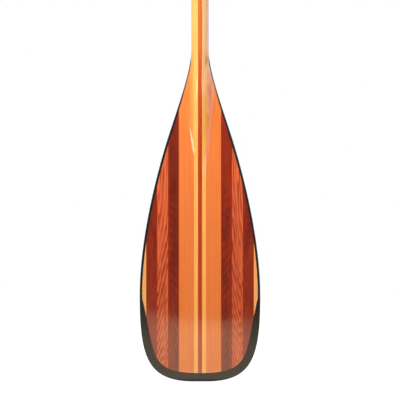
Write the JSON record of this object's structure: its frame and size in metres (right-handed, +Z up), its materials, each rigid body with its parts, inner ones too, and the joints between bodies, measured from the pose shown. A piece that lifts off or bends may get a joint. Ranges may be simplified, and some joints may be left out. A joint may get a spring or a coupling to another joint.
{
  "type": "canoe paddle",
  "caption": "Laminated wooden canoe paddle with a teardrop blade, a cast black edge and tip guard, an oval shaft and a rounded palm grip.",
  "frame": {"origin": "middle of the blade's tip, at the bottom centre of the bounding box", "axes": "+Z up the shaft from the blade's tip to the grip, +X across the blade to the right as in the picture, -Y out of the blade's front face"},
  "size_m": [0.21, 0.033, 1.372],
  "materials": {
    "red_cedar": "red cedar under a high-gloss clear varnish",
    "yellow_spruce": "yellow spruce under a high-gloss clear varnish",
    "orange_cedar": "orange cedar with fine straight grain under a high-gloss clear varnish",
    "dark_walnut": "dark figured wood under a high-gloss clear varnish",
    "flame_redwood": "red wood with flame grain under a high-gloss clear varnish",
    "pale_pine": "pale wood under a high-gloss clear varnish",
    "guard_resin": "black cast resin over cloth fibre, satin"
  },
  "bodies": {
    "root": {"shaft_centre_lam": "red_cedar", "shaft_inner_lam_left": "yellow_spruce", "shaft_inner_lam_right": "yellow_spruce", "shaft_outer_lam_left": "yellow_spruce", "shaft_outer_lam_right": "yellow_spruce", "blade_core_strip_left": "orange_cedar", "blade_core_strip_right": "orange_cedar", "blade_cedar_strip_left": "orange_cedar", "blade_cedar_strip_right": "orange_cedar", "blade_inner_walnut_strip_left": "dark_walnut", "blade_inner_walnut_strip_right": "dark_walnut", "blade_redwood_strip_left": "flame_redwood", "blade_redwood_strip_right": "flame_redwood", "blade_outer_walnut_strip_left": "dark_walnut", "blade_outer_walnut_strip_right": "dark_walnut", "blade_pine_sliver_left": "pale_pine", "blade_pine_sliver_right": "pale_pine", "edge_guard_left": "guard_resin", "edge_guard_right": "guard_resin", "tip_guard": "guard_resin", "grip_inner_cheek_left": "orange_cedar", "grip_inner_cheek_right": "orange_cedar", "grip_outer_cheek_left": "dark_walnut", "grip_outer_cheek_right": "dark_walnut"}
  },
  "joints": []
}
